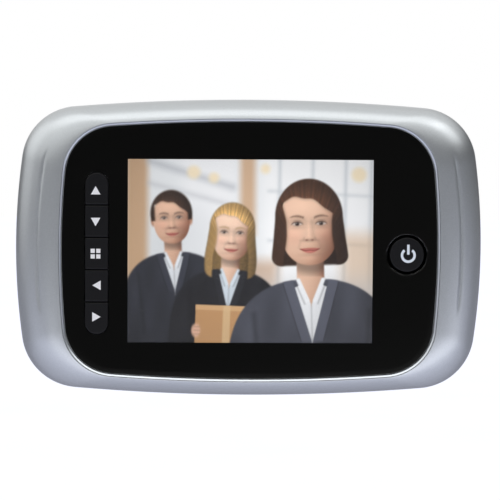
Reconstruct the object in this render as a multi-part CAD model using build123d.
from build123d import *
import os
from dataclasses import dataclass
from math import acos, asin, cos, radians, sin, sqrt

# Peephole door camera in millimetres. X is to the right and Z up, seen from the room.
# The door's inner face is the plane Y = 0 and the door's thickness runs along +Y.
# The origin is on the axis of the door hole. "Forward" is the distance from the door
# towards the room, which is -Y.

# Widest section of the monitor and outline of its black face
body_width = 134.4
body_height = 85.4
body_top_bow = 600.0
body_side_bow = 190.0
body_corner = 16.5
border_side = 13.45
border_end = 5.85
face_width = body_width - 2 * border_side
face_height = body_height - 2 * border_end
face_top_bow = 549.0
face_side_bow = 240.0
face_corner = 14.3

# Front bezel
bezel_wall = 2.0
crown_depth = 12.0
crown_angle = 80.0
crown_angle_shares = (0.0, 0.22, 0.43, 0.62, 0.81, 1.0)
lining_angle_shares = (0.0, 0.36, 0.7, 1.0)
ledge_lap = 1.6
ledge_thickness = 1.6
trim_width = 0.6
trim_gap = 0.22
trim_drop = 0.55
flute_inset = 6.0
flute_radius = 3.0
flute_depth = 0.3
flute_reach = 25.0

# Stack behind the window, from front to back
window_thickness = 1.5
crest_rise = 0.4
mask_thickness = 0.1
gasket_thickness = 0.5
glass_sheet = 0.6
guide_thickness = 1.2
tray_sheet = 0.3
tray_standoff = 1.6
board_thickness = 1.2
board_gap = 0.5

# Display cell
display_side_border = 18.7
display_end_border = 10.55
display_width = face_width - 2 * display_side_border
display_height = face_height - 2 * display_end_border
display_offset_x = 0.2
display_offset_z = -0.25
display_side_margin = 3.4
display_top_margin = 2.6
display_foot_margin = 5.8
display_foot_step = 3.2
gasket_width = 2.0
flex_width = 24.0
flex_thickness = 0.2
flex_tail = 3.6
display_socket_depth = 3.2
display_socket_height = 1.1

# Keys
key_row_z = -0.95
key_strip_inset = 10.05
key_strip_x = key_strip_inset - face_width / 2
key_strip_width = 6.6
key_strip_margin = 3.15
key_strip_length = display_height - 2 * key_strip_margin
key_count = 5
key_split = 0.22
key_slot_gap = 0.15
key_rise = 0.45
key_round = 0.35
key_flange_lap = 0.6
key_flange_thickness = 0.9
key_play = 0.1
key_travel = 0.4
power_key_inset = 8.8
power_key_x = face_width / 2 - power_key_inset
power_key_diameter = 9.8
power_key_rise = 0.15
power_bevel = 0.8
mat_lap = 1.1
mat_thickness = 1.0
mat_pad_height = 0.5
mat_pad_width = 3.6
switch_width = 4.4
switch_button_height = 0.5
switch_button_diameter = 2.0

# Rear housing
housing_wall = 2.0
back_gap = 0.3
back_inset = 4.0
back_depth_shares = (1.0, 0.5, 0.14, 0.0)
back_inset_shares = (0.0, 0.14, 0.55, 1.0)
parting_gap = 0.1
case_screw_side_inset = 12.7
case_screw_end_inset = 9.5
case_screw_x = body_width / 2 - case_screw_side_inset
case_screw_z = body_height / 2 - case_screw_end_inset
case_column_radius = 3.6
case_boss_radius = 2.8
case_boss_height = 7.3
case_screw_diameter = 2.4
case_head_diameter = 4.6
case_head_height = 1.5
case_head_depth = 5.5
screw_fit = 0.03
screw_hole_fit = 0.2

# Batteries and their bays
cell_diameter = 14.2
cell_nub_diameter = 5.5
cell_nub_height = 1.3
cell_bevel = 0.7
cell_pitch = 14.8
cell_gap = 0.3
bay_side_gap = 0.6
bay_side_inset = 10.8
bay_end_inset = 15.3
bay_wall = 1.2
bay_floor = 0.8
contact_room = 2.3
bay_half_length = body_height / 2 - bay_end_inset
cell_length = 2 * (bay_half_length - contact_room)
contact_sheet = 0.4
contact_width = 8.0
contact_tab_width = 3.0
contact_back_margin = 1.6
leaf_width = 6.0
leaf_gap = 0.05
cover_thickness = 1.5
cover_lap = 0.9
cover_gap = 0.2
cover_pin_diameter = 1.0
cover_pin_length = 1.2
cover_pin_fit = 0.06
cover_tab_width = 10.0
cover_tab_length = 2.4
cover_tab_thickness = 0.9
cover_tab_gap = 0.35
cover_rib_height = 0.25
cover_rib_width = 1.0
cover_rib_pitch = 2.4
cover_rib_count = 5
cover_rib_length = 18.0

# Main board
board_side_inset = 17.2
board_end_inset = 8.2
board_width = body_width - 2 * board_side_inset
board_height = body_height - 2 * board_end_inset
board_corner = 3.0
board_screw_side_inset = 6.0
board_screw_end_inset = 2.5
board_screw_x = board_width / 2 - board_screw_side_inset
board_screw_z = board_height / 2 - board_screw_end_inset
board_post_radius = 2.2
board_screw_diameter = 1.8
board_head_diameter = 3.8
board_head_height = 0.9
board_screw_length = 5.0
processor_width = 12.0
processor_height = 1.0
processor_x = 8.0
processor_z = 8.0
memory_chip_width = 8.0
memory_chip_length = 11.0
memory_chip_x = -8.0
shield_width = 16.0
shield_length = 13.0
shield_height = 2.2
shield_sheet = 0.3
shield_side_gap = 4.0
shield_end_inset = 8.0
foam_width = 4.0
foam_inset = 7.3

# Memory card and its socket
card_width = 11.0
card_length = 15.0
card_thickness = 0.8
card_side_gap = 6.5
card_recess = 0.7
card_gap = 0.15
card_socket_length = 11.0
card_socket_wall = 0.5
card_slot_gap = 0.4
card_notch = 1.3

# Door bracket
bracket_side_gap = 6.2
bracket_end_inset = 15.7
bracket_height = body_height - 2 * bracket_end_inset
bracket_corner = 4.0
bracket_sheet = 1.2
bracket_gap = 0.5
pocket_gap = 0.4
pocket_wall = 1.5
hook_side_inset = 5.5
hook_upper_inset = 10.0
hook_lower_inset = 7.0
hook_upper_z = bracket_height / 2 - hook_upper_inset
hook_lower_z = hook_lower_inset - bracket_height / 2
hook_width = 6.0
hook_lip = 3.0
hook_gap = 0.2
hook_side_gap = 0.3
hang_gap = 0.05
lift_spare = 0.4
lightening_diameter = 7.0
lightening_inset = 6.5
lightening_z = bracket_height / 2 - lightening_inset

# Inner sleeve with its flange
sleeve_diameter = 12.6
sleeve_bore = 10.6
sleeve_length = 36.5
sleeve_flange_diameter = 24.0
sleeve_flange_thickness = 2.0
sleeve_seat_gap = 0.05
sleeve_fit = 0.1
flange_hole_gap = 0.6
grip_count = 2
grip_width = 3.0
grip_depth = 1.2

# Outdoor camera unit
door_thickness = 45.0
thread_fit = 0.1
barrel_wall = 1.0
barrel_length = 38.0
barrel_flange_diameter = 18.0
barrel_flange_thickness = 1.5
washer_thickness = 1.2
washer_inset = 1.0
escutcheon_diameter = 36.0
escutcheon_rim = 1.4
escutcheon_height = 10.0
escutcheon_nose_diameter = 19.0
escutcheon_nose_rise = 8.0
escutcheon_front_diameter = 16.4
escutcheon_mouth_diameter = 14.0
escutcheon_bulge = 1.6
cavity_gap = 0.1
cavity_depth = 4.6
sensor_board_thickness = 1.0
sensor_board_inset = 0.6
sensor_width = 6.0
sensor_height = 0.8
holder_base = 1.7
holder_wall = 1.0
lens_diameter = 10.4
lens_fit = 0.1
lens_edge = 0.9
lens_dome = 1.9
element_thickness = 0.9
element_gap = 0.35
element_sag = 0.25

# Camera ribbon and its plug
ribbon_width = 6.0
ribbon_thickness = 0.3
ribbon_turn_forward = 6.4
ribbon_fold = 4.4
ribbon_top = 23.0
ribbon_radius = 2.0
plug_width = 8.0
plug_depth = 2.2
plug_length = 4.0
plug_engaged = 2.0
plug_fit = 0.1
camera_socket_z = -12.0
camera_socket_wall = 0.7
camera_socket_height = 3.0

# Lets cuts run past a face
overrun = 1.0

# Distances forward of the door, worked out from back to front
cover_front = back_gap + cover_thickness
cell_back = cover_front + cell_gap
cell_front = cell_back + cell_diameter
cell_axis = cell_back + cell_diameter / 2
bay_front = cell_front + cell_gap
bay_floor_front = bay_front + bay_floor
board_back = bay_floor_front + board_gap
board_front = board_back + board_thickness
tray_back = board_front + tray_standoff
guide_back = tray_back + tray_sheet
glass_back = guide_back + guide_thickness
glass_step = glass_back + glass_sheet
glass_front = glass_step + glass_sheet
mask_back = glass_front + gasket_thickness
window_back = mask_back + mask_thickness
window_front = window_back + window_thickness
crest = window_front + crest_rise
parting = crest - crown_depth
ledge_back = mask_back - ledge_thickness
key_flange_front = mask_back - key_play
key_flange_back = key_flange_front - key_flange_thickness
mat_pad_front = key_flange_back - key_travel - key_play
mat_front = mat_pad_front - mat_pad_height
mat_under = mat_front - mat_thickness
wall_back = bracket_sheet + bracket_gap
wall_front = wall_back + pocket_wall
hook_back = wall_front + hook_gap
hook_front = hook_back + bracket_sheet

# Travel of the monitor on its hooks, and places that follow from other pieces
lift_travel = hook_lip + lift_spare
bay_half_width = cell_pitch / 2 + cell_diameter / 2 + bay_side_gap
bay_x = body_width / 2 - bay_side_inset - bay_half_width
middle_half_width = bay_x - bay_half_width - bay_wall
bracket_width = 2 * (bay_x - bay_half_width - bracket_side_gap)
hook_x = bracket_width / 2 - hook_side_inset
shield_x = shield_side_gap + shield_width / 2 - middle_half_width
shield_z = board_height / 2 - shield_end_inset - shield_length / 2
card_x = middle_half_width - card_side_gap - card_width / 2
cover_half_width = bay_half_width + cover_lap
cover_half_length = bay_half_length + cover_lap
hinge_x = bay_x + cover_half_width - cover_thickness / 2
hinge_forward = back_gap + cover_thickness / 2
key_pitch = key_strip_length / key_count
barrel_diameter = sleeve_bore - 2 * thread_fit
washer_back = door_thickness
head_back = washer_back + washer_thickness
sensor_board_back = head_back + barrel_flange_thickness
sensor_board_front = sensor_board_back + sensor_board_thickness
holder_front = sensor_board_front + holder_base
lens_back = head_back + escutcheon_height - lens_edge - lens_dome
glass_centre_z = display_offset_z + (display_top_margin - display_foot_margin) / 2
glass_width = display_width + 2 * display_side_margin
glass_height = display_height + display_top_margin + display_foot_margin
card_forward = board_back - card_socket_wall - card_gap - card_thickness / 2


@dataclass(frozen=True)
class Outline:
    """Rounded rectangle whose sides bow outwards and whose corners are tangent to the bows."""

    half_width: float
    half_height: float
    top_bow: float
    side_bow: float
    corner: float

    def inset(self, amount):
        """Returns the parallel outline that lies inside by the amount."""
        return Outline(self.half_width - amount, self.half_height - amount,
                       self.top_bow - amount, self.side_bow - amount, self.corner - amount)

    def blend(self, other, share):
        """Returns the outline that lies the given share of the way to another one."""
        mine = (self.half_width, self.half_height, self.top_bow, self.side_bow, self.corner)
        theirs = (other.half_width, other.half_height, other.top_bow, other.side_bow, other.corner)
        return Outline(*(a + (b - a) * share for a, b in zip(mine, theirs)))

    def face(self):
        """Returns the outline as a flat face in its own XY plane."""
        top_centre = Vector(0, self.half_height - self.top_bow)
        side_centre = Vector(self.half_width - self.side_bow, 0)
        top_reach = self.top_bow - self.corner
        side_reach = self.side_bow - self.corner
        span = side_centre - top_centre
        along = (top_reach ** 2 - side_reach ** 2 + span.length ** 2) / (2 * span.length)
        across = sqrt(top_reach ** 2 - along ** 2)
        unit = span.normalized()
        centre = top_centre + unit * along + Vector(unit.Y, -unit.X) * across
        towards_top = (centre - top_centre).normalized()
        towards_side = (centre - side_centre).normalized()
        first = centre + towards_top * self.corner
        middle = centre + (towards_top + towards_side).normalized() * self.corner
        last = centre + towards_side * self.corner
        edges = []
        for flip_x, flip_y, turned in ((1, 1, False), (1, -1, True), (-1, -1, False), (-1, 1, True)):
            points = [Vector(p.X * flip_x, p.Y * flip_y) for p in (first, middle, last)]
            if turned:
                points.reverse()
            edges.append(points)
        bows = (Vector(self.half_width, 0), Vector(0, -self.half_height),
                Vector(-self.half_width, 0), Vector(0, self.half_height))
        curves = []
        for index, points in enumerate(edges):
            following = edges[(index + 1) % len(edges)]
            curves.append(ThreePointArc(*points))
            curves.append(ThreePointArc(points[-1], bows[index], following[0]))
        return make_face(curves)


body_outline = Outline(body_width / 2, body_height / 2, body_top_bow, body_side_bow, body_corner)
face_outline = Outline(face_width / 2, face_height / 2, face_top_bow, face_side_bow, face_corner)
opening_outline = face_outline.inset(-trim_width - trim_gap)


def station(forward):
    """Plane parallel to the door at a distance forward of it, facing the room."""
    return Plane(origin=(0, -forward, 0), x_dir=(1, 0, 0), z_dir=(0, -1, 0))


def slab(sketch, back, front):
    """Extrudes a sketch from one distance forward of the door to another."""
    return extrude(station(back) * sketch, amount=front - back)


def block(x, z, width, height, back, front):
    """Rectangular slab centred on x and z."""
    return slab(Pos(x, z) * Rectangle(width, height), back, front)


def rod(x, z, diameter, back, front):
    """Round slab centred on x and z."""
    return slab(Pos(x, z) * Circle(diameter / 2), back, front)


def side_plane(x):
    """Plane across X whose own x runs forward and whose own y runs up."""
    return Plane(origin=(x, 0, 0), x_dir=(0, -1, 0), z_dir=(-1, 0, 0))


def strip(sketch, x, width):
    """Extrudes a side view to both sides of x."""
    return extrude(side_plane(x) * sketch, amount=width / 2, both=True)


def turned(points):
    """Revolves a half section, given as radius and Y, about the axis of the door hole."""
    return revolve(make_face(Polyline(*points, close=True)), axis=Axis.Y)


def cap_arc(radius, edge, rise):
    """Arc of a spherical cap's half section, from its edge up to its top on the axis."""
    ball = (radius ** 2 + rise ** 2) / (2 * rise)
    half = asin(radius / ball) / 2
    middle = (ball * sin(half), edge + rise - ball * (1 - cos(half)))
    return ThreePointArc((radius, edge), middle, (0, edge + rise))


def mirrored(shape):
    """Mirrors a piece to the other side of the monitor."""
    return mirror(shape, about=Plane.YZ)


def crown_section(share):
    """Blend share and rise of the bezel's crown for a share of its angle, on a quarter ellipse."""
    angle = radians(crown_angle) * share
    whole = radians(crown_angle)
    return (1 - cos(angle)) / (1 - cos(whole)), sin(angle) / sin(whole)


def crown(outer, inner, back, front, shares, ruled=False):
    """Crowned solid that closes from the outer to the inner outline towards the room."""
    sections = []
    for share in shares:
        blend, rise = crown_section(share)
        sections.append(station(back + (front - back) * rise) * outer.blend(inner, blend).face())
    return loft(sections, ruled=ruled)


def flute():
    """Cutter for the shallow valley down the right side of the bezel."""
    reach = body_outline.half_width - opening_outline.half_width
    whole = radians(crown_angle)
    ellipse_width = reach / (1 - cos(whole))
    ellipse_depth = crown_depth / sin(whole)
    angle = acos(1 - flute_inset / ellipse_width)
    x = body_outline.half_width - flute_inset
    forward = parting + ellipse_depth * sin(angle)
    normal = Vector(ellipse_depth * cos(angle), -ellipse_width * sin(angle)).normalized()
    bow = flute_reach ** 2 / (2 * body_side_bow)
    offset = flute_radius - flute_depth
    middle = (x + normal.X * offset, -forward + normal.Y * offset, 0)
    ends = [(x - bow + normal.X * flute_radius, -forward + normal.Y * flute_radius, z)
            for z in (-flute_reach, flute_reach)]
    path = ThreePointArc(ends[0], middle, ends[1])
    start = Plane(origin=path @ 0, z_dir=path % 0)
    return sweep(start * Circle(flute_radius), path=path)


def make_front_bezel():
    """Crowned silver frame with the ledge that carries the face and four screw bosses."""
    shell = crown(body_outline, opening_outline, parting, crest, crown_angle_shares)
    shell -= crown(body_outline.inset(bezel_wall), opening_outline.inset(bezel_wall), parting, ledge_back,
                   lining_angle_shares, ruled=True)
    boss_back = parting + parting_gap
    for x in (-case_screw_x, case_screw_x):
        for z in (-case_screw_z, case_screw_z):
            shell += rod(x, z, 2 * case_boss_radius, boss_back, boss_back + case_boss_height)
    shell -= slab(opening_outline.face(), mask_back, crest + overrun)
    shell -= slab(face_outline.inset(ledge_lap).face(), parting, crest)
    for x in (-case_screw_x, case_screw_x):
        for z in (-case_screw_z, case_screw_z):
            hole = case_screw_diameter + 2 * screw_fit
            shell -= rod(x, z, hole, boss_back - overrun, boss_back + case_boss_height - bezel_wall)
    cutter = flute()
    shell -= cutter
    shell -= mirrored(cutter)
    shell -= card_slot()
    return shell


def card_slot():
    """Mouth of the card slot in the monitor's lower wall, with a notch for a fingertip."""
    width = card_width + 2 * card_slot_gap
    height = card_thickness + 2 * card_slot_gap
    floor = -body_height / 2
    mouth = block(card_x, floor, width, 4 * bezel_wall,
                  card_forward - height / 2, card_forward + height / 2)
    notch = Pos(card_x, -card_forward, floor) * Sphere(card_notch)
    return mouth + notch


def make_trim_ring():
    """Bright ring round the black face, its inner edge sloping down to the window."""
    outer = face_outline.inset(-trim_width)
    ring = slab(outer.face() - face_outline.face(), mask_back, crest)
    slope = loft([station(crest - trim_drop) * face_outline.face(),
                  station(crest + trim_drop) * outer.inset(-trim_width).face()], ruled=True)
    return ring - slope


def key_strip_sketch(lap=0.0):
    """Outline of the whole key strip, wider by a lap all round."""
    stadium = SlotOverall(key_strip_length + 2 * lap, key_strip_width + 2 * lap, rotation=90)
    return Pos(key_strip_x, key_row_z) * stadium


def make_front_window():
    """Clear sheet over the display with the key slot and the bevelled power key hole."""
    sheet = slab(face_outline.inset(key_play / 2).face(), window_back, window_front)
    sheet -= slab(key_strip_sketch(key_slot_gap), window_back - overrun, window_front + overrun)
    hole = power_key_diameter + 2 * key_slot_gap
    sheet -= rod(power_key_x, key_row_z, hole, window_back - overrun, window_front + overrun)
    centre = Pos(power_key_x, key_row_z)
    bevel = loft([station(window_front - power_bevel) * centre * Circle(hole / 2),
                  station(window_front) * centre * Circle(hole / 2 + power_bevel)])
    return sheet - bevel


def make_window_mask():
    """Black print behind the window, open over the display and the keys."""
    sheet = slab(face_outline.inset(key_play).face(), mask_back, window_back)
    sheet -= block(display_offset_x, display_offset_z, display_width, display_height,
                   mask_back - overrun, window_back + overrun)
    sheet -= slab(key_strip_sketch(key_slot_gap), mask_back - overrun, window_back + overrun)
    hole = power_key_diameter + 2 * key_slot_gap
    return sheet - rod(power_key_x, key_row_z, hole, mask_back - overrun, window_back + overrun)


def key_sketch(index, lap=0.0):
    """Outline of one key, cut from the strip; the end keys keep the strip's round ends."""
    top = key_row_z + key_strip_length / 2 - key_pitch * index - key_split / 2
    bottom = top - key_pitch + key_split
    if index == 0:
        top += key_strip_width
    if index == key_count - 1:
        bottom -= key_strip_width
    width = 2 * (key_strip_width + 2 * lap)
    span = Pos(key_strip_x, (top + bottom) / 2) * Rectangle(width, top - bottom)
    return key_strip_sketch(lap) & span


def make_key(index):
    """Key cap that stands a little proud of the window, with a flange behind it."""
    cap = slab(key_sketch(index), key_flange_back, window_front + key_rise)
    top = cap.faces().sort_by(Axis.Y)[0]
    cap = fillet(top.edges(), key_round)
    return cap + slab(key_sketch(index, key_flange_lap), key_flange_back, key_flange_front)


def make_power_key():
    """Round key with a softened rim."""
    front = window_front + power_key_rise
    cap = rod(power_key_x, key_row_z, power_key_diameter, key_flange_back, front)
    cap = fillet(cap.faces().sort_by(Axis.Y)[0].edges(), key_round)
    flange = power_key_diameter + 2 * key_flange_lap
    return cap + rod(power_key_x, key_row_z, flange, key_flange_back, key_flange_front)


def key_centres():
    """Centres of the five strip keys and the power key, as x and z."""
    top = key_row_z + key_strip_length / 2
    strip_keys = [(key_strip_x, top - key_pitch * (i + 0.5)) for i in range(key_count)]
    return strip_keys + [(power_key_x, key_row_z)]


def make_key_mats():
    """Silicone caps over the switches: one for the strip and one for the power key."""
    strip_mat = slab(key_strip_sketch(mat_lap), board_front, mat_front)
    strip_mat -= slab(key_strip_sketch(mat_lap - mat_thickness), board_front, mat_under)
    width = power_key_diameter + 2 * mat_lap
    power_mat = rod(power_key_x, key_row_z, width, board_front, mat_front)
    power_mat -= rod(power_key_x, key_row_z, width - 2 * mat_thickness, board_front, mat_under)
    for x, z in key_centres()[:-1]:
        strip_mat += rod(x, z, mat_pad_width, mat_front, mat_pad_front)
    power_mat += rod(power_key_x, key_row_z, mat_pad_width, mat_front, mat_pad_front)
    return [strip_mat, power_mat]


def make_key_switches():
    """Six tactile switches on the board, one under each key."""
    switches = []
    for x, z in key_centres():
        body = block(x, z, switch_width, switch_width, board_front, mat_under - switch_button_height)
        button = rod(x, z, switch_button_diameter, mat_under - switch_button_height, mat_under)
        switches.append(body + button)
    return switches


def make_dust_gasket():
    """Foam frame that seals the display cell against the window."""
    inner_width = display_width + gasket_width / 2
    inner_height = display_height + gasket_width / 2
    frame = block(display_offset_x, display_offset_z, inner_width + 2 * gasket_width,
                  inner_height + 2 * gasket_width, glass_front, mask_back)
    return frame - block(display_offset_x, display_offset_z, inner_width, inner_height,
                         glass_front - overrun, mask_back + overrun)


def make_display_glass():
    """Two glass sheets; the rear one is longer at the foot, where the flex is bonded."""
    rear = block(display_offset_x, glass_centre_z, glass_width, glass_height, glass_back, glass_step)
    front_height = glass_height - display_foot_step
    front = block(display_offset_x, glass_centre_z + display_foot_step / 2, glass_width, front_height,
                  glass_step, glass_front)
    return rear + front


def make_light_guide():
    """Backlight sheet that fills the tray behind the glass."""
    return block(display_offset_x, glass_centre_z, glass_width, glass_height, guide_back, glass_back)


def make_display_tray():
    """Pressed metal tray that holds the light guide and the glass."""
    width = glass_width + 2 * tray_sheet
    height = glass_height + 2 * tray_sheet
    tray = block(display_offset_x, glass_centre_z, width, height, tray_back, glass_step - tray_sheet / 2)
    return tray - block(display_offset_x, glass_centre_z, glass_width, glass_height, guide_back, crest)


def make_display_flex():
    """Thin flex that folds from the foot of the glass round the tray to the board."""
    front = glass_step + flex_thickness / 2
    back = board_front + display_socket_height / 2
    radius = (front - back) / 2
    foot = glass_centre_z - glass_height / 2
    bend = foot - tray_sheet
    start = (front, foot + display_foot_step)
    end = (back, foot + flex_tail)
    path = Line(start, (front, bend))
    path += ThreePointArc((front, bend), (front - radius, bend - radius), (back, bend))
    path += Line((back, bend), end)
    band = trace(path, line_width=flex_thickness)
    return strip(band, display_offset_x, flex_width)


def make_display_socket():
    """Low connector on the board's front that grips the display flex."""
    middle = glass_centre_z - glass_height / 2 + flex_tail - display_socket_depth / 4
    body = block(display_offset_x, middle, flex_width + display_socket_depth, display_socket_depth,
                 board_front, board_front + display_socket_height)
    return body - make_display_flex()


def make_main_board():
    """Circuit board with its four screw holes."""
    board = slab(RectangleRounded(board_width, board_height, board_corner), board_back, board_front)
    for x in (-board_screw_x, board_screw_x):
        for z in (-board_screw_z, board_screw_z):
            hole = board_screw_diameter + 2 * screw_hole_fit
            board -= rod(x, z, hole, board_back - overrun, board_front + overrun)
    return board


def make_board_chips():
    """Processor and memory chip on the board's front."""
    front = board_front + processor_height
    processor = block(processor_x, processor_z, processor_width, processor_width, board_front, front)
    memory = block(memory_chip_x, processor_z, memory_chip_width, memory_chip_length, board_front, front)
    return [processor, memory]


def make_shield_can():
    """Pressed can over the supply circuit on the board's back."""
    back = board_back - shield_height
    can = block(shield_x, shield_z, shield_width, shield_length, back, board_back)
    return can - block(shield_x, shield_z, shield_width - 2 * shield_sheet,
                       shield_length - 2 * shield_sheet, back + shield_sheet, board_back + overrun)


def make_foam_strips():
    """Two foam strips between the board and the display tray."""
    offset = display_width / 2 - foam_inset + foam_width / 2
    return [block(display_offset_x + x, display_offset_z, foam_width, display_height - 2 * foam_inset,
                  board_front, tray_back) for x in (-offset, offset)]


def screw(x, z, tip, seat, shank, head, head_height, from_back):
    """Flat head screw along Y, its head behind or in front of the seat."""
    sign = -1 if from_back else 1
    low, high = sorted((seat, seat + sign * head_height))
    return rod(x, z, shank, min(tip, seat), max(tip, seat)) + rod(x, z, head, low, high)


def make_case_screws():
    """Four screws that hold the rear housing to the bezel."""
    seat = back_gap + case_head_depth
    tip = parting + parting_gap + case_boss_height - bezel_wall - case_screw_diameter / 2
    return [screw(x, z, tip, seat, case_screw_diameter, case_head_diameter, case_head_height, True)
            for x in (-case_screw_x, case_screw_x) for z in (-case_screw_z, case_screw_z)]


def make_board_screws():
    """Four screws that hold the board to the housing's posts."""
    return [screw(x, z, board_back - board_screw_length, board_front, board_screw_diameter,
                  board_head_diameter, board_head_height, False)
            for x in (-board_screw_x, board_screw_x) for z in (-board_screw_z, board_screw_z)]


def housing_form(inset, back, front, ruled=False):
    """Tapered rear form, smaller towards the door, shrunk by an inset."""
    sections = []
    for depth, share in zip(back_depth_shares, back_inset_shares):
        forward = back + (front - back) * depth
        sections.append(station(forward) * body_outline.inset(inset + back_inset * share).face())
    return loft(sections, ruled=ruled)


def bay_shape(half_width, half_length, back, front):
    """Slab about the centre of the right battery bay."""
    return block(bay_x, 0, 2 * half_width, 2 * half_length, back, front)


def bay_walls():
    """Solid that the right battery bay is cut from."""
    return bay_shape(bay_half_width + bay_wall, bay_half_length + bay_wall, back_gap, bay_floor_front)


def bay_cut():
    """Hollow of the right battery bay, the rebate of its cover, its pin holes and contact slots."""
    cut = bay_shape(bay_half_width, bay_half_length, back_gap - overrun, bay_front)
    gap = cover_gap
    cut += bay_shape(cover_half_width + gap, cover_half_length + gap, back_gap - overrun, cover_front)
    reach = cover_half_length + cover_pin_length + 2 * gap
    pin = Cylinder(cover_pin_diameter / 2 + cover_pin_fit, 2 * reach)
    cut += Pos(hinge_x, -hinge_forward, 0) * pin
    for x in (bay_x - cell_pitch / 2, bay_x + cell_pitch / 2):
        slot = contact_tab_width + 2 * leaf_gap
        cut += block(x, -bay_half_length + contact_sheet / 2, slot, contact_sheet,
                     bay_front - overrun, bay_floor_front + overrun)
    return cut


def hook_places():
    """Places of the bracket's hooks, as x and z of each stem's middle."""
    return [(x, z) for x in (-hook_x, hook_x) for z in (hook_lower_z, hook_upper_z)]


def pocket_cut():
    """Recess for the bracket, the hook slots and the hole for the sleeve's flange."""
    width = bracket_width + 2 * pocket_gap
    height = bracket_height + 2 * pocket_gap + lift_travel
    cut = block(0, -lift_travel / 2, width, height, back_gap - overrun, wall_back)
    for x, z in hook_places():
        top = z + bracket_sheet / 2 + hang_gap
        bottom = z - bracket_sheet / 2 - lift_travel - hook_side_gap
        cut += block(x, (top + bottom) / 2, hook_width + 2 * hook_side_gap, top - bottom,
                     back_gap, wall_front + overrun)
    hole = sleeve_flange_diameter + 2 * flange_hole_gap
    for z in (0, -lift_travel):
        cut += rod(0, z, hole, back_gap, wall_front + overrun)
    return cut + block(0, -lift_travel / 2, hole, lift_travel, back_gap, wall_front + overrun)


def make_rear_housing():
    """Rear shell with the bracket pocket, two battery bays, columns and posts."""
    shell = housing_form(0, back_gap, parting)
    cavity_back = back_gap + housing_wall
    shell -= housing_form(housing_wall, cavity_back, parting + parting_gap, ruled=True)
    rim = 2 * pocket_wall
    shell += block(0, -lift_travel / 2, bracket_width + rim, bracket_height + lift_travel + rim,
                   back_gap, wall_front)
    columns = Part()
    for x in (-case_screw_x, case_screw_x):
        for z in (-case_screw_z, case_screw_z):
            columns += rod(x, z, 2 * case_column_radius, cavity_back, parting)
    shell += columns & housing_form(0, back_gap, parting)
    for x in (-board_screw_x, board_screw_x):
        for z in (-board_screw_z, board_screw_z):
            shell += rod(x, z, 2 * board_post_radius, cavity_back, board_back)
    walls = bay_walls()
    shell += walls
    shell += mirrored(walls)
    cut = bay_cut()
    shell -= cut
    shell -= mirrored(cut)
    shell -= pocket_cut()
    for x in (-case_screw_x, case_screw_x):
        for z in (-case_screw_z, case_screw_z):
            shell -= rod(x, z, case_head_diameter + 2 * screw_hole_fit, back_gap - overrun,
                         back_gap + case_head_depth)
            shell -= rod(x, z, case_screw_diameter + 2 * screw_hole_fit, back_gap, parting + overrun)
    for x in (-board_screw_x, board_screw_x):
        for z in (-board_screw_z, board_screw_z):
            shell -= rod(x, z, board_screw_diameter + 2 * screw_fit,
                         board_back - board_screw_length - overrun, board_back + overrun)
    return shell


def make_battery_cover():
    """Right battery cover with its pins, snap tongue and grip ribs."""
    span = cover_half_width * 2 - cover_thickness / 2
    plate = block(bay_x - cover_thickness / 4, 0, span, 2 * cover_half_length, back_gap, cover_front)
    edge = Pos(hinge_x, -hinge_forward, 0) * Cylinder(cover_thickness / 2, 2 * cover_half_length)
    pin = Cylinder(cover_pin_diameter / 2, 2 * (cover_half_length + cover_pin_length))
    cover = plate + edge + Pos(hinge_x, -hinge_forward, 0) * pin
    cover -= block(hinge_x + cover_thickness / 2, 0, cover_thickness, 2 * cover_half_length,
                   back_gap - overrun, cover_front + overrun) - edge
    tab_x = bay_x - bay_half_width + cover_tab_gap + cover_tab_thickness / 2
    cover += block(tab_x, 0, cover_tab_thickness, cover_tab_width, cover_front,
                   cover_front + cover_tab_length)
    first = bay_x - cover_half_width + 2 * cover_rib_pitch
    for index in range(cover_rib_count):
        cover -= block(first + index * cover_rib_pitch, 0, cover_rib_width, cover_rib_length,
                       back_gap - overrun, back_gap + cover_rib_height)
    return cover


def make_cell(x, upwards):
    """Battery cell along Z with its contact button at one end."""
    body = cell_length - cell_nub_height
    radius = cell_diameter / 2
    nub = cell_nub_diameter / 2
    points = [(0, 0), (radius - cell_bevel, 0), (radius, cell_bevel), (radius, body - cell_bevel),
              (radius - cell_bevel, body), (nub, body), (nub, cell_length), (0, cell_length)]
    cell = revolve(Plane.XZ * make_face(Polyline(*points, close=True)), axis=Axis.Z)
    top = bay_half_length - contact_sheet
    if upwards:
        return Pos(x, -cell_axis, top - cell_length) * cell
    return Pos(x, -cell_axis, cell_length - top) * Rot(180, 0, 0) * cell


def cell_places():
    """X of each cell and whether its button points up."""
    inner = bay_x - cell_pitch / 2
    outer = bay_x + cell_pitch / 2
    return [(-outer, True), (-inner, False), (inner, True), (outer, False)]


def make_battery_cells():
    """Four cells, two in each bay, head to tail."""
    return [make_cell(x, upwards) for x, upwards in cell_places()]


def leaf(x, top):
    """Bowed leaf contact that bears on a cell's flat end; at the top or the foot of a bay."""
    sign = 1 if top else -1
    wall = sign * (bay_half_length - contact_sheet)
    room = 2 * (bay_half_length - contact_sheet) - cell_length - leaf_gap
    rise = wall - sign * room
    half = contact_width / 2 + contact_sheet
    outer = ThreePointArc((cell_axis - half, wall), (cell_axis, rise), (cell_axis + half, wall))
    inner_half = half - contact_sheet
    inner = ThreePointArc((cell_axis + inner_half, wall), (cell_axis, rise + sign * contact_sheet),
                          (cell_axis - inner_half, wall))
    ends = [Line(outer @ 1, inner @ 0), Line(inner @ 1, outer @ 0)]
    return strip(make_face([outer, inner, *ends]), x, leaf_width)


def contact_plate(x, width, top, front):
    """Flat plate on the bay's end wall."""
    sign = 1 if top else -1
    middle = sign * (bay_half_length - contact_sheet / 2)
    return block(x, middle, width, contact_sheet, cell_back + contact_back_margin, front)


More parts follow.
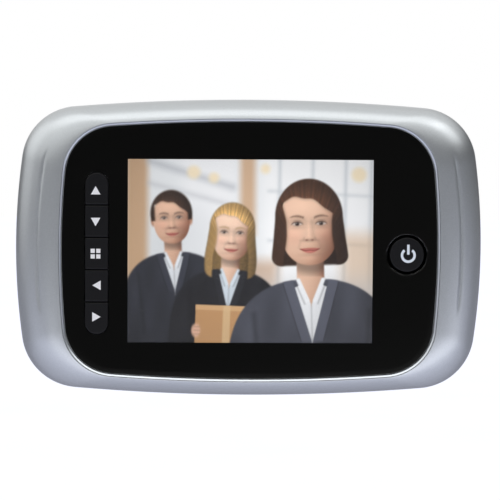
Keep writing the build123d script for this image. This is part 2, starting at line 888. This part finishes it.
def make_battery_links():
    """Plate at the top of each bay that joins its two cells."""
    links = []
    for side in (-1, 1):
        width = cell_pitch + contact_width
        plate = contact_plate(side * bay_x, width, True, cell_front - contact_back_margin)
        for x, upwards in cell_places():
            if x * side > 0 and not upwards:
                plate += leaf(x, True)
        links.append(plate)
    return links


def make_battery_terminals():
    """Contact at the foot of each cell, with a tab that reaches the board."""
    terminals = []
    for x, upwards in cell_places():
        plate = contact_plate(x, contact_width, False, cell_front - contact_back_margin)
        plate += contact_plate(x, contact_tab_width, False, board_back)
        if upwards:
            plate += leaf(x, False)
        terminals.append(plate)
    return terminals


def make_card_socket():
    """Sheet metal card socket on the board's back, open towards the slot."""
    foot = -board_height / 2
    width = card_width + 2 * card_gap + 2 * card_socket_wall
    height = card_thickness + 2 * card_gap + 2 * card_socket_wall
    middle = foot + card_socket_length / 2
    body = block(card_x, middle, width, card_socket_length, board_back - height, board_back)
    hollow = block(card_x, middle - card_socket_wall, card_width + 2 * card_gap, card_socket_length,
                   board_back - height + card_socket_wall, board_back - card_socket_wall)
    return body - hollow


def make_memory_card():
    """Small card with one clipped corner."""
    foot = -body_height / 2 + card_recess
    card = block(card_x, foot + card_length / 2, card_width, card_length,
                 card_forward - card_thickness / 2, card_forward + card_thickness / 2)
    clip = card_width / 5
    side = card_x + card_width / 2
    top = foot + card_length
    wedge = make_face(Polyline((side, top), (side - clip, top), (side, top - clip), close=True))
    return card - slab(wedge, card_forward - card_thickness, card_forward + card_thickness)


def make_camera_socket():
    """Connector on the board's back for the camera ribbon."""
    width = plug_width + 2 * plug_fit + 2 * camera_socket_wall
    depth = plug_depth + 2 * plug_fit + 2 * camera_socket_wall
    back = board_back - camera_socket_height
    body = block(0, camera_socket_z, width, depth, back, board_back)
    return body - block(0, camera_socket_z, plug_width + 2 * plug_fit, plug_depth + 2 * plug_fit,
                        back - overrun, back + plug_engaged + plug_fit)


def plug_back():
    """Distance forward of the plug's rear face."""
    return board_back - camera_socket_height + plug_engaged - plug_length


def make_camera_plug():
    """Plug at the room end of the ribbon."""
    back = plug_back()
    return block(0, camera_socket_z, plug_width, plug_depth, back, back + plug_length)


def make_camera_ribbon():
    """Flat cable from the sensor through the barrel, folded once for slack, to the plug."""
    fold = ribbon_turn_forward + ribbon_fold
    points = [(-sensor_board_back, 0), (ribbon_turn_forward, 0), (ribbon_turn_forward, ribbon_top),
              (fold, ribbon_top), (fold, camera_socket_z), (plug_back(), camera_socket_z)]
    path = FilletPolyline(*points, radius=ribbon_radius)
    ribbon = strip(trace(path, line_width=ribbon_thickness), 0, ribbon_width)
    print("ribbon length", round(path.length), "tightest bend", ribbon_radius)
    return ribbon


def make_mounting_plate():
    """Steel bracket clamped to the door, with four hooks bent forward and up."""
    plate = slab(RectangleRounded(bracket_width, bracket_height, bracket_corner), 0, bracket_sheet)
    plate -= rod(0, 0, sleeve_diameter + 2 * sleeve_fit, -overrun, bracket_sheet + overrun)
    for z in (-lightening_z, lightening_z):
        plate -= rod(0, z, lightening_diameter, -overrun, bracket_sheet + overrun)
    for x, z in hook_places():
        low = z - bracket_sheet / 2
        high = z + bracket_sheet / 2 + hook_lip
        profile = Polyline((0, low), (hook_front, low), (hook_front, high), (hook_back, high),
                           (hook_back, z + bracket_sheet / 2), (0, z + bracket_sheet / 2), close=True)
        hook = strip(make_face(profile), x, hook_width)
        plate += hook
    return plate


def make_inner_sleeve():
    """Threaded sleeve whose flange clamps the bracket; grip slots take a key."""
    back = bracket_sheet + sleeve_seat_gap
    front = back + sleeve_flange_thickness
    outer = sleeve_diameter / 2
    bore = sleeve_bore / 2
    flange = sleeve_flange_diameter / 2
    rim = sleeve_flange_thickness / 4
    sleeve = turned([(bore, -front), (flange - rim, -front), (flange, rim - front), (flange, -back),
                     (outer, -back), (outer, sleeve_length), (bore, sleeve_length)])
    for index in range(grip_count):
        side = 1 if index % 2 else -1
        x = side * (flange - grip_depth / 2)
        sleeve -= block(x, 0, grip_depth + rim, grip_width, back - overrun, front + overrun)
    return sleeve


def make_camera_barrel():
    """Threaded tube of the outdoor unit, with the base that its cap sits on."""
    outer = barrel_diameter / 2
    bore = outer - barrel_wall
    flange = barrel_flange_diameter / 2
    inner_end = door_thickness - barrel_length
    return turned([(bore, inner_end), (outer, inner_end), (outer, head_back), (flange, head_back),
                   (flange, sensor_board_back), (bore, sensor_board_back)])


def make_door_washer():
    """Soft ring between the outdoor unit and the door."""
    radius = escutcheon_diameter / 2 - washer_inset
    ring = Circle(radius) - Circle(sleeve_diameter / 2 + washer_inset)
    return slab(ring, -head_back, -washer_back)


def make_escutcheon():
    """Domed cap of the outdoor unit with a stepped mouth for the lens."""
    front = head_back + escutcheon_height
    radius = escutcheon_diameter / 2
    nose = escutcheon_nose_diameter / 2
    shoulder = head_back + escutcheon_nose_rise
    cavity = barrel_flange_diameter / 2 + cavity_gap
    lens = lens_diameter / 2 + lens_fit
    mouth_drop = (escutcheon_mouth_diameter / 2 - lens) / 2
    rim = head_back + escutcheon_rim
    middle = ((radius + nose) / 2 - escutcheon_bulge, (rim + shoulder) / 2 - escutcheon_bulge)
    curves = [Polyline((cavity, head_back), (radius, head_back), (radius, rim)),
              ThreePointArc((radius, rim), middle, (nose, shoulder)),
              Polyline((nose, shoulder), (escutcheon_front_diameter / 2, front),
                       (escutcheon_mouth_diameter / 2, front), (lens, front - mouth_drop),
                       (lens, head_back + cavity_depth), (cavity, head_back + cavity_depth),
                       (cavity, head_back))]
    return revolve(make_face(curves), axis=Axis.Y)


def make_sensor_board():
    """Small round board that carries the image sensor and the ribbon's end."""
    radius = barrel_flange_diameter / 2 - sensor_board_inset
    return slab(Circle(radius), -sensor_board_front, -sensor_board_back)


def make_image_sensor():
    """Square sensor chip on the outward side of its board."""
    return block(0, 0, sensor_width, sensor_width, -sensor_board_front - sensor_height,
                 -sensor_board_front)


def make_lens_holder():
    """Black holder over the sensor, with the tube that carries the lenses."""
    radius = barrel_flange_diameter / 2 - sensor_board_inset
    tube = lens_diameter / 2
    bore = tube - holder_wall
    pocket = sensor_width
    return turned([(pocket, sensor_board_front), (radius, sensor_board_front), (radius, holder_front),
                   (tube, holder_front), (tube, lens_back), (bore, lens_back), (bore, holder_front),
                   (pocket, holder_front - holder_base / 3)])


def make_lens(radius, back, edge, rise):
    """Plano-convex lens whose flat side is at the back."""
    walls = Polyline((0, edge + rise), (0, back), (radius, back), (radius, edge))
    return revolve(make_face([cap_arc(radius, edge, rise), walls]), axis=Axis.Y)


def make_lens_elements():
    """Two inner lenses in the holder's tube."""
    radius = lens_diameter / 2 - holder_wall
    elements = []
    for index in range(2):
        back = lens_back - (index + 1) * (element_thickness + element_gap)
        elements.append(make_lens(radius, back, back + element_thickness - element_sag, element_sag))
    return elements


def make_front_lens():
    """Domed front lens that looks out of the cap."""
    return make_lens(lens_diameter / 2, lens_back, lens_back + lens_edge, lens_dome)


def save(name, shape):
    """Writes one node; a list becomes a group of separate solids."""
    if isinstance(shape, list):
        shape = Compound(children=[Part() + piece for piece in shape])
    export_step(shape, f"parts/{name}.step")


def main():
    """Makes every piece and writes it under its own name."""
    os.makedirs("parts", exist_ok=True)
    right_cover = make_battery_cover()
    pieces = {
        "front_bezel": make_front_bezel(),
        "trim_ring": make_trim_ring(),
        "front_window": make_front_window(),
        "window_mask": make_window_mask(),
        "power_key": make_power_key(),
        "key_mats": make_key_mats(),
        "key_switches": make_key_switches(),
        "dust_gasket": make_dust_gasket(),
        "display_glass": make_display_glass(),
        "light_guide": make_light_guide(),
        "display_tray": make_display_tray(),
        "display_flex": make_display_flex(),
        "display_socket": make_display_socket(),
        "foam_strips": make_foam_strips(),
        "main_board": make_main_board(),
        "board_chips": make_board_chips(),
        "shield_can": make_shield_can(),
        "board_screws": make_board_screws(),
        "card_socket": make_card_socket(),
        "memory_card": make_memory_card(),
        "camera_socket": make_camera_socket(),
        "camera_plug": make_camera_plug(),
        "camera_ribbon": make_camera_ribbon(),
        "rear_housing": make_rear_housing(),
        "case_screws": make_case_screws(),
        "battery_cells": make_battery_cells(),
        "battery_links": make_battery_links(),
        "battery_terminals": make_battery_terminals(),
        "right_battery_cover": right_cover,
        "left_battery_cover": mirrored(right_cover),
        "mounting_plate": make_mounting_plate(),
        "inner_sleeve": make_inner_sleeve(),
        "camera_barrel": make_camera_barrel(),
        "door_washer": make_door_washer(),
        "escutcheon": make_escutcheon(),
        "sensor_board": make_sensor_board(),
        "image_sensor": make_image_sensor(),
        "lens_holder": make_lens_holder(),
        "lens_elements": make_lens_elements(),
        "front_lens": make_front_lens(),
    }
    for index, name in enumerate(("key_up", "key_down", "key_menu", "key_left", "key_right")):
        pieces[name] = make_key(index)
    for name, shape in pieces.items():
        save(name, shape)


main()
